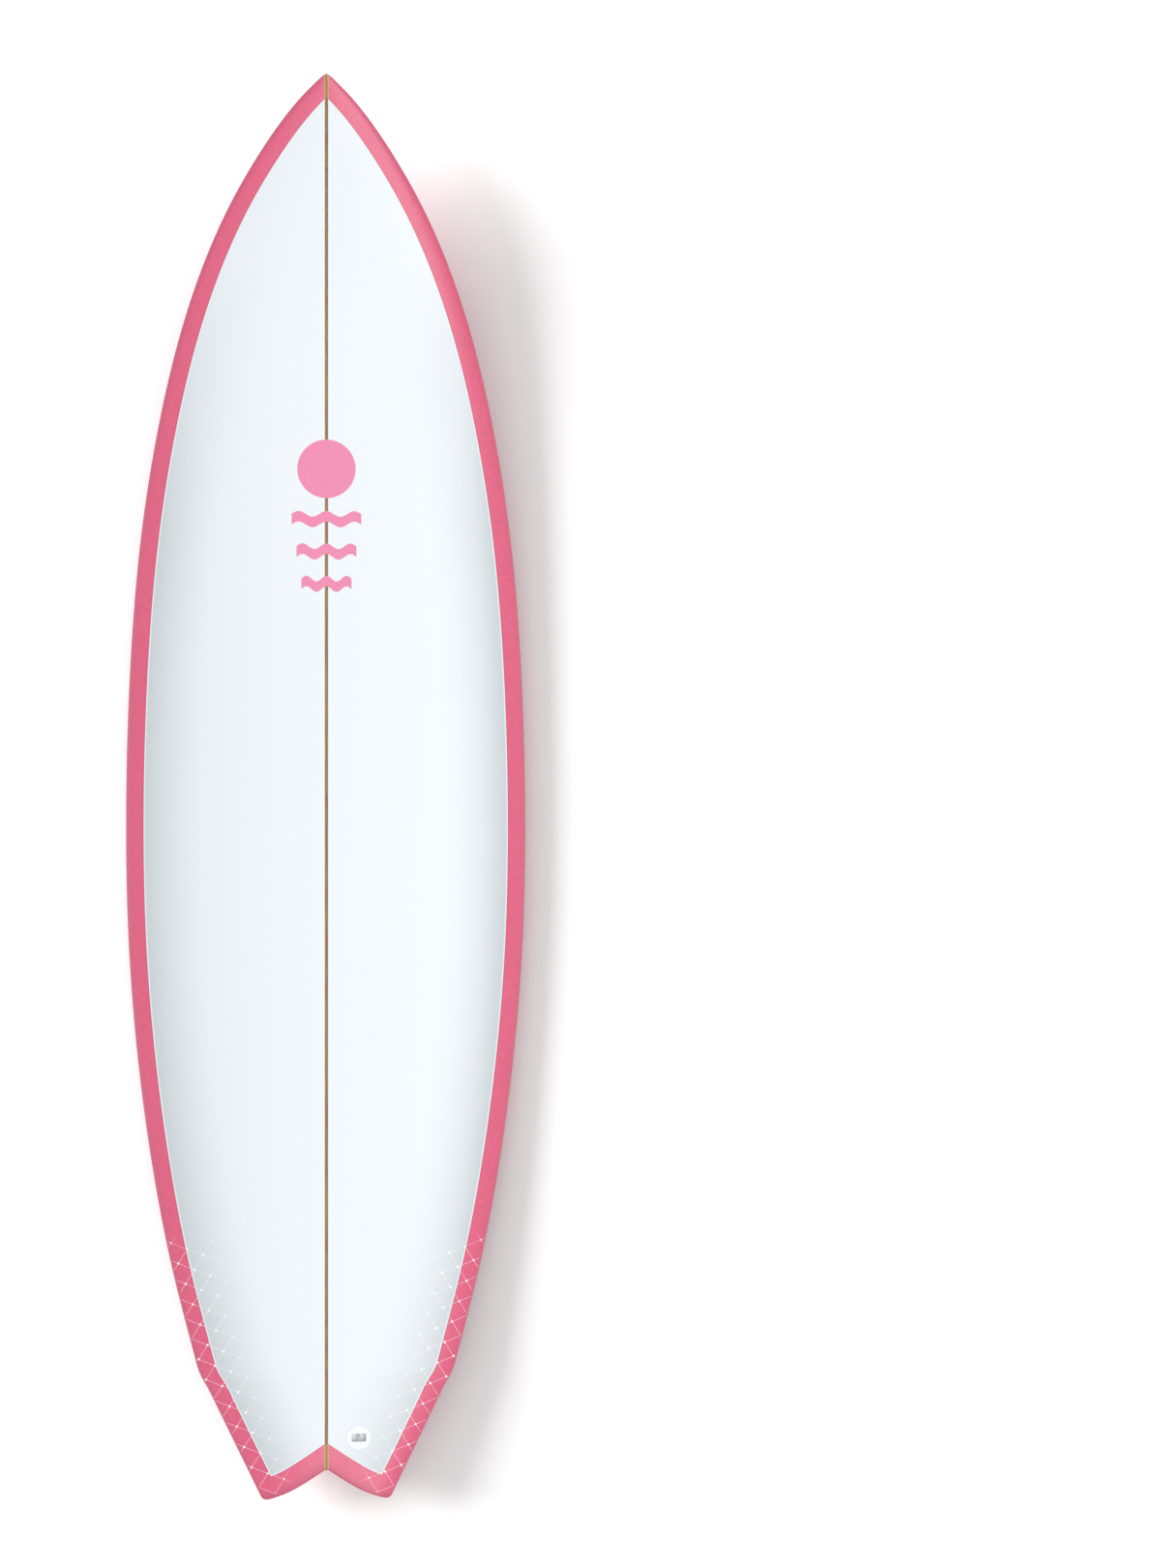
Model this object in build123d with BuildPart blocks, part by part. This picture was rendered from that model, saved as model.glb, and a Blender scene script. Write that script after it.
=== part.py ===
"""A shortboard surfboard with a winged swallow tail, built as it is made: a foam blank with a stringer,
a glass skin with a cut lap, three single-slot fin boxes with their screws, and a leash plug.

+Y points to the nose, +Z is up through the deck and +X is the right side seen from the deck.
The origin is under the middle of the board, at the height of the lowest point of its bottom.
Millimetres throughout. Stations along the board are given as distances from the nose tip.
"""

import math
import os

import numpy
from build123d import *

# ---- the board's driving dimensions ----
LENGTH = 1750.0  # plan length, 5 ft 9 in
NOSE_ROCKER = 135.0  # lift of the bottom at the nose tip
TAIL_ROCKER = 62.0  # lift of the bottom at the tail tips
NOSE_ROCKER_POWER = 2.4
TAIL_ROCKER_POWER = 2.2
FLAT_SPOT = 895.0  # where the bottom rests on a flat floor
FLAT_DROP = 1.38  # the concave and round edges keep the lowest point this far above the flat level

# half width at distances from the nose, down to the wing
OUTLINE = [
    (0.0, 0.0),
    (10.0, 14.0),
    (25.0, 29.5),
    (55.0, 55.3),
    (100.0, 87.0),
    (150.0, 116.7),
    (225.0, 151.6),
    (305.0, 179.4),
    (425.0, 208.8),
    (575.0, 232.3),
    (725.0, 244.3),
    (910.0, 249.3),
    (1075.0, 245.4),
    (1225.0, 232.5),
    (1375.0, 210.4),
    (1475.0, 189.6),
    (1575.0, 163.4),
]
WING_START = 1580.0  # the wing: the outline steps in to a straight run to the tail tip
WING_END = 1616.0
TAIL_RUN_WIDTH = 79.0  # half width where the straight run reaches the tail line
TAIL_RUN_SLOPE = 0.497
TIP_RADIUS = 4.0

# thickness on the stringer, the rail's height as a share of it, the bottom edge's
# squareness and the depth of the bottom's concave, at distances from the nose
THICKNESS = [
    (0.0, 7.0),
    (135.0, 21.0),
    (305.0, 35.5),
    (575.0, 55.0),
    (845.0, 63.5),
    (1160.0, 56.5),
    (1445.0, 39.5),
    (1610.0, 28.5),
    (1713.0, 19.5),
    (1750.0, 13.0),
]
RAIL_HEIGHT = [(0.0, 0.50), (400.0, 0.43), (900.0, 0.38), (1400.0, 0.30), (1750.0, 0.22)]
EDGE_POWER = [(0.0, 3.0), (400.0, 5.0), (900.0, 7.0), (1400.0, 12.0), (1750.0, 24.0)]
CONCAVE = [(0.0, 0.0), (300.0, 0.5), (900.0, 2.5), (1400.0, 2.5), (1750.0, 0.5)]
DECK_POWER = 2.7

# swallow tail, as half widths and distances from the nose
CROTCH = (2.5, 1713.0)
NOTCH_EDGE = [(27.0, 1729.0), (45.5, 1739.5), (61.0, 1746.0), (100.0, 1757.0)]

SKIN = 0.8  # glass and resin
PRINT = 0.3  # depth of the prints and of the net in that skin
LAP = 23.0  # from the outline to the cut lap on the deck
NOTCH_LAP = 25.0
STRINGER = 3.6
GLUE = 0.6

# fin boxes, as (name, distance from the stringer, distance from the nose, toe-in in degrees)
FIN_BOXES = [
    ("left", -143.0, 1457.0, 0.8),
    ("right", 143.0, 1457.0, 0.8),
    ("centre", 0.0, 1609.5, 0.0),
]
FLANGE = (145.0, 31.0, 2.6)
FRAME = (126.0, 11.0, 15.4)
SLOT_LENGTH = 102.0
SLOT_WIDTH = 6.8
SLOT_DEPTH = 12.7
SLOT_FRONT = 48.0  # from the box's middle to the slot's nose end
HOOK_STEP = 6.2
HOOK_DEPTH = 3.0
UNDERCUT = (3.0, 4.0, 5.0)  # reach, height and depth of the recess that holds the fin's hook
VENT = (10.7, 2.0)  # resin slots in the flange
VENT_COUNT = 4  # straight ones along each side
VENT_PITCH = 25.2
VENT_INSET = 2.6
BEND_VENTS = [(1, 22.0), (1, 293.0), (-1, 113.0), (-1, 202.0)]  # nose or tail end, and where the arc starts
BEND_VENT_SWEEP = 45.0
BOX_BED = 0.9  # resin around the box
SCREW_PLACE = 55.5  # where the screw's hole opens, from the box's middle
SCREW_TILT = 40.0
SCREW_HOLE = (5.0, 12.5)  # diameter, and depth along its slant
SCREW = (4.6, 8.0)  # diameter and length of the grub screw
SCREW_SINK = 2.6
SCREW_CHAMFER = 0.4
SOCKET = (2.4, 2.5)  # hexagon across flats, and depth

# leash plug
PLUG_PLACE = (40.0, 1673.0)
CUP = (29.5, 13.5)
CUP_OPENING = (18.0, 10.0, 11.0)
CUP_CORNER = 1.5
CUP_BED = 0.8
PIN_DIAMETER = 2.6
PIN_LENGTH = 16.0
PIN_DEPTH = 2.8

# outlines of the fibre net's patches, as (distance from the stringer, distance from the nose)
BOTTOM_NET = [
    (270.0, 1300.0),
    (108.0, 1370.0),
    (60.0, 1555.0),
    (14.0, 1680.0),
    (14.0, 1800.0),
    (300.0, 1800.0),
]
DECK_NET = [
    (270.0, 1412.0),
    (131.0, 1419.0),
    (91.0, 1575.0),
    (33.0, 1720.0),
    (33.0, 1800.0),
    (300.0, 1800.0),
]
# a slanting plane through the tail's rails, where the deck's and the bottom's patches meet
NET_MEETING = [(1300.0, 27.5), (1750.0, 64.0)]

# generic prints: a sun over waves on deck and bottom, slanting bars, and waves in a ring
MARK_PLACE = 542.0
SUN_RADIUS = 36.0
SUN_RISE = 68.0
WAVE_LENGTHS = (86.0, 74.0, 62.0)
FIRST_WAVE = 6.0  # ahead of the mark's place
WAVE_PITCH = 40.0
WAVE_CRESTS = 2.5
WAVE_STEPS = 20
WAVE_HEIGHT = 7.0
WAVE_WEIGHT = 13.0
BARS_PLACE = (138.0, 1318.0)
BARS_TILT = -24.0
BAR_LENGTHS = (104.0, 84.0, 64.0)
BAR_PITCH = 17.0
BAR_WEIGHT = 9.0
RING_PLACE = (-66.0, 1475.0)
RING = (36.0, 33.0)
RING_WAVES = (40.0, 50.0, 40.0)
RING_WAVE_PITCH = 14.0
RING_WAVE_HEIGHT = 2.5
RING_WAVE_WEIGHT = 5.0
# the heights that the tools for the prints span, as (base, depth)
DECK_MARK_SPAN = (30.0, 100.0)
BOTTOM_MARK_SPAN = (-4.0, 48.0)
BARS_SPAN = (-4.0, 35.0)
RING_SPAN = (-4.0, 45.0)

STAND_PROUD = 4.0  # how far tools reach past a surface that they trim or cut


def spline_through(stations):
    """Make the natural cubic spline through (place, value) stations, as a function of place."""
    places = numpy.array([place for place, value in stations])
    values = numpy.array([value for place, value in stations])
    steps = numpy.diff(places)
    rises = numpy.diff(values) / steps
    count = len(places)
    system = numpy.eye(count)
    target = numpy.zeros(count)
    for i in range(1, count - 1):
        system[i, i - 1 : i + 2] = steps[i - 1], 2 * (steps[i - 1] + steps[i]), steps[i]
        target[i] = 6 * (rises[i] - rises[i - 1])
    bends = numpy.linalg.solve(system, target)

    def value_at(place):
        i = int(numpy.clip(numpy.searchsorted(places, place) - 1, 0, count - 2))
        ahead = (places[i + 1] - place) / steps[i]
        behind = (place - places[i]) / steps[i]
        curl = (ahead**3 - ahead) * bends[i] + (behind**3 - behind) * bends[i + 1]
        return float(ahead * values[i] + behind * values[i + 1] + curl * steps[i] ** 2 / 6)

    return value_at


# the nose is round, so the outline is a smooth function of the root of the distance
outline_by_root = spline_through([(math.sqrt(place), width) for place, width in OUTLINE])
thickness_at = spline_through(THICKNESS)
rail_height_at = spline_through(RAIL_HEIGHT)
edge_power_at = spline_through(EDGE_POWER)
concave_at = spline_through(CONCAVE)


def half_width(station):
    """Half the board's width, with the wing, the straight run behind it and the round tail tip."""
    run = TAIL_RUN_WIDTH + TAIL_RUN_SLOPE * (LENGTH - station)
    into_tip = max(0.0, station - (LENGTH - TIP_RADIUS))
    run -= TIP_RADIUS - math.sqrt(TIP_RADIUS**2 - into_tip**2)
    if station <= WING_START:
        return outline_by_root(math.sqrt(station))
    if station >= WING_END:
        return run
    part = (station - WING_START) / (WING_END - WING_START)
    blend = part * part * (3 - 2 * part)
    return (1 - blend) * outline_by_root(math.sqrt(station)) + blend * run


def inset_width(station, inset):
    """Half the width inside a band of the given width along the outline."""
    behind = station - min(10.0, station / 2)
    ahead = min(station + min(10.0, station / 2), LENGTH - TIP_RADIUS)
    slope = (half_width(ahead) - half_width(behind)) / (ahead - behind)
    return half_width(station) - inset * math.sqrt(1 + slope * slope)


def rocker(station):
    """Height of the bottom above the floor, at its flat level."""
    if station < FLAT_SPOT:
        lift = NOSE_ROCKER * ((FLAT_SPOT - station) / FLAT_SPOT) ** NOSE_ROCKER_POWER
    else:
        lift = TAIL_ROCKER * ((station - FLAT_SPOT) / (LENGTH - FLAT_SPOT)) ** TAIL_ROCKER_POWER
    return lift - FLAT_DROP


def rail_line(station):
    """Height of the widest point of the rail."""
    return rocker(station) + rail_height_at(station) * thickness_at(station)


def deck_height(station, across, inset=0.0):
    """Height of the deck at a share of the half width."""
    crown = (1 - rail_height_at(station)) * thickness_at(station) - inset
    return rail_line(station) + crown * math.sqrt(1 - abs(across) ** DECK_POWER)


def bottom_height(station, across, inset=0.0):
    """Height of the bottom at a share of the half width."""
    drop = rail_height_at(station) * thickness_at(station) - inset
    hollow = concave_at(station) * (1 - across**2) ** 2
    return rail_line(station) - drop * math.sqrt(1 - abs(across) ** edge_power_at(station)) + hollow


def surface_plane(right, station, deck, toe_in=0.0):
    """A plane that touches the board's surface, with x to the nose and z out of the board."""
    height = deck_height if deck else bottom_height

    def at(x, place):
        return height(place, x / half_width(place))

    along = (at(right, station - 1) - at(right, station + 1)) / 2
    aside = (at(right + 1, station) - at(right - 1, station)) / 2
    up = Vector(-aside, -along, 1)
    turn = math.radians(toe_in) * (-1 if right > 0 else 1)
    forward = Vector(math.sin(turn), math.cos(turn), 0)
    forward -= up * (forward.dot(up) / up.dot(up))
    return Plane(
        origin=(right, LENGTH / 2 - station, at(right, station)),
        x_dir=forward,
        z_dir=up if deck else up * -1,
    )


def stations_between(first, last, step):
    count = max(1, round((last - first) / step))
    return [first + (last - first) * i / count for i in range(count)]


NOSE_STATIONS = [160 * (k / 8) ** 2 for k in range(1, 8)]
SECTION_STATIONS = (
    [0.4]
    + NOSE_STATIONS
    + stations_between(160.0, 560.0, 36.0)
    + stations_between(560.0, WING_START, 51.0)
    + stations_between(WING_START, WING_END, 9.0)
    + stations_between(WING_END, LENGTH - TIP_RADIUS, 33.0)
    + [LENGTH - TIP_RADIUS, LENGTH - 1.5, LENGTH - 0.4]
)
POINTS_TO_RAIL = 7
# points crowd towards the rail, where the section turns
SHARES = [1 - (1 - k / POINTS_TO_RAIL) ** 3 for k in range(POINTS_TO_RAIL + 1)]
ACROSS = [-share for share in reversed(SHARES[1:])] + SHARES


def section_plane(station):
    """An upright plane across the board, with sketch x to the right and sketch y up."""
    return Plane(origin=(0, LENGTH / 2 - station, 0), x_dir=(1, 0, 0), z_dir=(0, -1, 0))


def grown_notch_edge(grow):
    """The right edge of the notch, moved towards the nose by a margin and met at the crotch."""
    edge = [Vector(x, LENGTH / 2 - station) for x, station in [CROTCH] + NOTCH_EDGE]
    grown = []
    for i, point in enumerate(edge):
        along = (edge[min(i + 1, len(edge) - 1)] - edge[max(i - 1, 0)]).normalized()
        moved = point + Vector(-along.Y, along.X) * grow
        if i == 0:
            moved -= along * ((moved.X - CROTCH[0]) / along.X)
        grown.append((moved.X, moved.Y))
    return grown


def notch_tool(grow):
    """The tool that cuts the swallow tail, grown by a margin."""
    points = grown_notch_edge(grow)
    mirrored = [(-x, y) for x, y in points]
    corner = (points[-1][0], -LENGTH / 2 - 60)
    with BuildPart() as tool:
        with BuildSketch(Plane.XY):
            with BuildLine():
                Spline(points)
                Spline(mirrored)
                Line(points[0], mirrored[0])
                Polyline(points[-1], corner, (-corner[0], corner[1]), mirrored[-1])
            make_face()
        extrude(amount=NOSE_ROCKER)
    return tool


def shaped_body(inset):
    """Loft the whole board, inset all round, and cut its swallow tail."""
    with BuildPart() as body:
        for station in SECTION_STATIONS:
            if inset and not 2.0 < station <= LENGTH - 1.5:
                continue
            width = inset_width(station, inset) if inset else half_width(station)
            deck = [(width * a, deck_height(station, a, inset)) for a in ACROSS]
            bottom = [(width * a, bottom_height(station, a, inset)) for a in ACROSS]
            with BuildSketch(section_plane(station)):
                with BuildLine():
                    Spline(deck)
                    Spline(bottom)
                make_face()
        loft(ruled=True)
        add(notch_tool(inset).part, mode=Mode.SUBTRACT)
    return body


def deck_region():
    """The space over the deck inside the cut lap, down into the foam."""
    above = 30.0
    with BuildPart() as region:
        for station in SECTION_STATIONS:
            width = inset_width(station, LAP)
            if width < 1.5 or station > LENGTH - TIP_RADIUS:
                continue
            low = rail_line(station)
            high = deck_height(station, 0) + above
            with BuildSketch(section_plane(station)):
                with Locations((0, (low + high) / 2)):
                    Rectangle(2 * width, high - low)
        loft(ruled=True)
        add(notch_tool(NOTCH_LAP).part, mode=Mode.SUBTRACT)
    return region


def piece(part, name):
    """Label a finished piece and write its file."""
    part.label = name
    export_step(part, f"parts/{name}.step")


def net_tool(outline, side, deck):
    """The space over one patch of the net, above or below the plane where the patches meet."""
    flat = [(side * x, LENGTH / 2 - station) for x, station in outline]
    (near, low), (far, high) = NET_MEETING
    with BuildPart() as tool:
        with BuildSketch(Plane.XY.offset(-STAND_PROUD)):
            with BuildLine():
                Polyline(*flat, close=True)
            make_face()
        extrude(amount=NOSE_ROCKER)
        meeting = Plane(
            origin=(0, LENGTH / 2 - near, low),
            x_dir=(1, 0, 0),
            z_dir=(0, (high - low), (far - near)),
        )
        split(bisect_by=meeting, keep=Keep.TOP if deck else Keep.BOTTOM)
    return tool


def wave(width, height, weight):
    """Sketch one wave stripe, two and a half crests long, centred on the origin."""
    xs = [width * (i / WAVE_STEPS - 0.5) for i in range(WAVE_STEPS + 1)]
    ys = [height * math.cos(2 * math.pi * WAVE_CRESTS * x / width) / 2 for x in xs]
    upper = [(x, y + weight / 2) for x, y in zip(xs, ys)]
    lower = [(x, y - weight / 2) for x, y in zip(xs, ys)]
    with BuildSketch() as stripe:
        with BuildLine():
            Spline(upper)
            Spline(lower)
            Line(upper[0], lower[0])
            Line(upper[-1], lower[-1])
        make_face()
    return stripe.sketch


def sun_and_waves(base, depth):
    """The space under the sun and waves, from a base height."""
    with BuildPart() as tool:
        with BuildSketch(Plane((0, LENGTH / 2 - MARK_PLACE, base))):
            with Locations((0, SUN_RISE)):
                Circle(SUN_RADIUS)
            for i, width in enumerate(WAVE_LENGTHS):
                with Locations((0, FIRST_WAVE - WAVE_PITCH * i)):
                    add(wave(width, WAVE_HEIGHT, WAVE_WEIGHT))
        extrude(amount=depth)
    return tool


def slanting_bars(base, depth):
    """The space under three slanting bars, from a base height."""
    across, station = BARS_PLACE
    with BuildPart() as tool:
        with BuildSketch(Plane((across, LENGTH / 2 - station, base)).rotated((0, 0, BARS_TILT))):
            for i, length in enumerate(BAR_LENGTHS):
                with Locations((0, BAR_PITCH * (1 - i))):
                    SlotOverall(length, BAR_WEIGHT)
        extrude(amount=depth)
    return tool


def ring_of_waves(base, depth):
    """The space under a ring with three waves inside, from a base height."""
    across, station = RING_PLACE
    with BuildPart() as tool:
        with BuildSketch(Plane((across, LENGTH / 2 - station, base))):
            Circle(RING[0])
            Circle(RING[1], mode=Mode.SUBTRACT)
            for i, width in enumerate(RING_WAVES):
                with Locations((0, RING_WAVE_PITCH * (1 - i))):
                    add(wave(width, RING_WAVE_HEIGHT, RING_WAVE_WEIGHT))
        extrude(amount=depth)
    return tool


def box_pocket(place):
    """The routed pocket for a fin box."""
    with BuildPart() as pocket:
        with BuildSketch(place.offset(STAND_PROUD)):
            SlotOverall(FLANGE[0] + 2 * BOX_BED, FLANGE[1] + 2 * BOX_BED)
        extrude(amount=-(STAND_PROUD + FLANGE[2] + BOX_BED))
        with BuildSketch(place.offset(STAND_PROUD)):
            RectangleRounded(FRAME[0] + 2 * BOX_BED, FRAME[1] + 2 * BOX_BED, 2 * BOX_BED)
        extrude(amount=-(STAND_PROUD + FRAME[2] + BOX_BED))
    return pocket


def box_blank(place):
    """A fin box without its slot: the flange with its resin slots, and the frame, sanded flush."""
    vent_row = FLANGE[1] / 2 - VENT_INSET
    end_middle = (FLANGE[0] - FLANGE[1]) / 2
    with BuildPart() as blank:
        with BuildSketch(place.offset(STAND_PROUD)):
            SlotOverall(FLANGE[0], FLANGE[1])
            for side in (-1, 1):
                for i in range(VENT_COUNT):
                    with Locations((VENT_PITCH * (i - (VENT_COUNT - 1) / 2), side * vent_row)):
                        SlotOverall(VENT[0], VENT[1], mode=Mode.SUBTRACT)
            for end, start in BEND_VENTS:
                with BuildLine(mode=Mode.PRIVATE) as bend:
                    CenterArc((end * end_middle, 0), vent_row, start, BEND_VENT_SWEEP)
                SlotArc(bend.line.edges()[0], VENT[1], mode=Mode.SUBTRACT)
        extrude(amount=-(STAND_PROUD + FLANGE[2]))
        with BuildSketch(place.offset(STAND_PROUD)):
            RectangleRounded(FRAME[0], FRAME[1], BOX_BED)
        extrude(amount=-(STAND_PROUD + FRAME[2]))
        add(outer.part, mode=Mode.INTERSECT)
    return blank


def screw_plane(place):
    """A plane at the mouth of a screw's hole, with z up along the screw to the outside."""
    tilt = math.radians(SCREW_TILT)
    return Plane(
        origin=place.from_local_coords((SCREW_PLACE, 0, 0)),
        x_dir=place.x_dir * math.cos(tilt) - place.z_dir * math.sin(tilt),
        z_dir=place.z_dir * math.cos(tilt) + place.x_dir * math.sin(tilt),
    )


def box_cavities(place):
    """The slot that takes a fin's tab, the recess for its hook, and the screw's slanting hole."""
    slot_tail = SLOT_FRONT - SLOT_LENGTH
    reach, height, depth = UNDERCUT
    with BuildPart() as cavities:
        with BuildSketch(place.offset(STAND_PROUD)):
            with Locations(((SLOT_FRONT + slot_tail) / 2, 0)):
                Rectangle(SLOT_LENGTH, SLOT_WIDTH)
        extrude(amount=-(STAND_PROUD + SLOT_DEPTH))
        with BuildSketch(place.offset(STAND_PROUD)):
            with Locations((slot_tail - HOOK_STEP / 2, 0)):
                Rectangle(HOOK_STEP, SLOT_WIDTH)
        extrude(amount=-(STAND_PROUD + HOOK_DEPTH))
        with BuildSketch(place.offset(-depth)):
            with Locations((slot_tail - reach / 2, 0)):
                Rectangle(reach, SLOT_WIDTH)
        extrude(amount=-height)
        with BuildSketch(screw_plane(place).offset(STAND_PROUD)):
            Circle(SCREW_HOLE[0] / 2)
        extrude(amount=-(STAND_PROUD + SCREW_HOLE[1]))
    return cavities


def grub_screw(place):
    """A headless screw with a hexagon socket, down in its hole."""
    top = screw_plane(place).offset(-SCREW_SINK)
    with BuildPart() as screw:
        with BuildSketch(top):
            Circle(SCREW[0] / 2)
        extrude(amount=-SCREW[1])
        chamfer(screw.edges().filter_by(GeomType.CIRCLE), length=SCREW_CHAMFER)
        with BuildSketch(top):
            RegularPolygon(SOCKET[0] / 2, 6, major_radius=False)
        extrude(amount=-SOCKET[1], mode=Mode.SUBTRACT)
    return screw


os.makedirs("parts", exist_ok=True)

# ---- the whole board, and the surfaces inside its skin ----
outer = shaped_body(0.0)
print_floor = shaped_body(PRINT)
core = shaped_body(SKIN)
deck_space = deck_region()

with BuildPart() as print_layer:
    add(outer.part)
    add(print_floor.part, mode=Mode.SUBTRACT)

# ---- routed pockets ----
box_planes = {name: surface_plane(right, station, False, toe) for name, right, station, toe in FIN_BOXES}
box_pockets = {name: box_pocket(place) for name, place in box_planes.items()}
plug_plane = surface_plane(*PLUG_PLACE, True)

with BuildPart() as plug_pocket:
    with BuildSketch(plug_plane.offset(STAND_PROUD)):
        Circle(CUP[0] / 2 + CUP_BED)
    extrude(amount=-(STAND_PROUD + CUP[1] + CUP_BED))

pockets = [pocket.part for pocket in box_pockets.values()] + [plug_pocket.part]

# ---- prints and net patches, in the outer layer of the skin; a print lies over the net ----
inlays = {}
with BuildPart() as deck_graphic:
    add(print_layer.part)
    add(sun_and_waves(*DECK_MARK_SPAN).part, mode=Mode.INTERSECT)
inlays["deck_graphic"] = deck_graphic.part

with BuildPart() as bottom_graphic:
    add(print_layer.part)
    add(sun_and_waves(*BOTTOM_MARK_SPAN).part, mode=Mode.INTERSECT)
inlays["bottom_graphic"] = bottom_graphic.part

with BuildPart() as bars_graphic:
    add(print_layer.part)
    add(slanting_bars(*BARS_SPAN).part, mode=Mode.INTERSECT)
inlays["bars_graphic"] = bars_graphic.part

with BuildPart() as round_graphic:
    add(print_layer.part)
    add(ring_of_waves(*RING_SPAN).part, mode=Mode.INTERSECT)
inlays["round_graphic"] = round_graphic.part

prints = list(inlays.values())
for side, name in ((-1, "left"), (1, "right")):
    for deck, face in ((True, "deck"), (False, "bottom")):
        with BuildPart() as net:
            add(print_layer.part)
            add(net_tool(DECK_NET if deck else BOTTOM_NET, side, deck).part, mode=Mode.INTERSECT)
            add(pockets + prints, mode=Mode.SUBTRACT)
        inlays[f"tail_net_{face}_{name}"] = net.part

for name, part in inlays.items():
    piece(part, name)

# ---- glass skin, in two laminates that meet at the cut lap ----
with BuildPart() as deck_laminate:
    add(outer.part)
    add(core.part, mode=Mode.SUBTRACT)
    add(deck_space.part, mode=Mode.INTERSECT)
    add(list(inlays.values()) + pockets, mode=Mode.SUBTRACT)
piece(deck_laminate.part, "deck_laminate")

with BuildPart() as bottom_laminate:
    add(outer.part)
    add(core.part, mode=Mode.SUBTRACT)
    add(deck_space.part, mode=Mode.SUBTRACT)
    add(list(inlays.values()) + pockets, mode=Mode.SUBTRACT)
piece(bottom_laminate.part, "bottom_laminate")

# ---- blank: foam halves glued to the stringer ----
with BuildPart() as stringer:
    add(core.part)
    Box(STRINGER, 2 * LENGTH, 2 * LENGTH, mode=Mode.INTERSECT)
    add(pockets, mode=Mode.SUBTRACT)
piece(stringer.part, "stringer")

for side, name in ((-1, "left"), (1, "right")):
    glue_middle = side * (STRINGER + GLUE) / 2
    foam_middle = side * (STRINGER / 2 + GLUE + LENGTH / 2)
    with BuildPart() as glue_line:
        add(core.part)
        with Locations((glue_middle, 0, 0)):
            Box(GLUE, 2 * LENGTH, 2 * LENGTH, mode=Mode.INTERSECT)
        add(pockets, mode=Mode.SUBTRACT)
    piece(glue_line.part, f"glue_line_{name}")
    with BuildPart() as foam_core:
        add(core.part)
        with Locations((foam_middle, 0, 0)):
            Box(LENGTH, 2 * LENGTH, 2 * LENGTH, mode=Mode.INTERSECT)
        add(pockets, mode=Mode.SUBTRACT)
    piece(foam_core.part, f"foam_core_{name}")

# ---- fin boxes, their resin beds and screws ----
for name, place in box_planes.items():
    blank = box_blank(place)
    with BuildPart() as fin_box:
        add(blank.part)
        add(box_cavities(place).part, mode=Mode.SUBTRACT)
    piece(fin_box.part, f"fin_box_{name}")
    with BuildPart() as resin_bed:
        add(box_pockets[name].part)
        add(outer.part, mode=Mode.INTERSECT)
        add(blank.part, mode=Mode.SUBTRACT)
    piece(resin_bed.part, f"fin_box_resin_{name}")
    fin_screw = grub_screw(place)
    piece(fin_screw.part, f"fin_screw_{name}")

# ---- leash plug ----
with BuildPart() as cup_blank:
    with BuildSketch(plug_plane.offset(STAND_PROUD)):
        Circle(CUP[0] / 2)
    extrude(amount=-(STAND_PROUD + CUP[1]))
    add(outer.part, mode=Mode.INTERSECT)

with BuildPart() as leash_pin:
    with BuildSketch(Plane(plug_plane.offset(-PIN_DEPTH).origin, plug_plane.y_dir, plug_plane.x_dir)):
        Circle(PIN_DIAMETER / 2)
    extrude(amount=PIN_LENGTH / 2, both=True)
piece(leash_pin.part, "leash_pin")

with BuildPart() as leash_cup:
    add(cup_blank.part)
    with BuildSketch(plug_plane.offset(STAND_PROUD)):
        RectangleRounded(CUP_OPENING[1], CUP_OPENING[0], CUP_CORNER)
    extrude(amount=-(STAND_PROUD + CUP_OPENING[2]), mode=Mode.SUBTRACT)
    add(leash_pin.part, mode=Mode.SUBTRACT)
piece(leash_cup.part, "leash_cup")

with BuildPart() as leash_resin:
    add(plug_pocket.part)
    add(outer.part, mode=Mode.INTERSECT)
    add(cup_blank.part, mode=Mode.SUBTRACT)
piece(leash_resin.part, "leash_resin")
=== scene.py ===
"""Finish of a shortboard surfboard: its glass skin, net, prints, boxes and plug, on a pale floor."""

import math

import bmesh
import bpy
import numpy as np
from mathutils import Matrix, Vector


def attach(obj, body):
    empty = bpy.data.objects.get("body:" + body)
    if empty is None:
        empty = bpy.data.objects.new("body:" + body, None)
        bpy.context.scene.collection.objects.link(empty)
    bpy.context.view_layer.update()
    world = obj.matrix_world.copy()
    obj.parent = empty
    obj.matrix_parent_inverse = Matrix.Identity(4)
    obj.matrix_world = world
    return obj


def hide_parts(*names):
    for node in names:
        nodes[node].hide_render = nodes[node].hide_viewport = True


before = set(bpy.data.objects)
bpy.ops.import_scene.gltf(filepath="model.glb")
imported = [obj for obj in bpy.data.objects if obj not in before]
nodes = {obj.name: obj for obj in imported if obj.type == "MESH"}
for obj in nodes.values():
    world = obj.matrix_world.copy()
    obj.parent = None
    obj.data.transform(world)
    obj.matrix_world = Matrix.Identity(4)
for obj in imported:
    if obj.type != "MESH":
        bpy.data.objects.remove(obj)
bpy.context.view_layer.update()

BOARD = "board"

# The board's shape in millimetres, as in the CAD. A station is a distance from the nose tip.
MM = 0.001
LENGTH = 1750.0
NOSE_ROCKER, NOSE_ROCKER_POWER = 135.0, 2.4
TAIL_ROCKER, TAIL_ROCKER_POWER = 62.0, 2.2
FLAT_SPOT, FLAT_DROP = 895.0, 1.38
OUTLINE = [
    (0.0, 0.0), (10.0, 14.0), (25.0, 29.5), (55.0, 55.3), (100.0, 87.0), (150.0, 116.7),
    (225.0, 151.6), (305.0, 179.4), (425.0, 208.8), (575.0, 232.3), (725.0, 244.3), (910.0, 249.3),
    (1075.0, 245.4), (1225.0, 232.5), (1375.0, 210.4), (1475.0, 189.6), (1575.0, 163.4),
]
WING_START, WING_END = 1580.0, 1616.0
TAIL_RUN_WIDTH, TAIL_RUN_SLOPE = 79.0, 0.497
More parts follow.
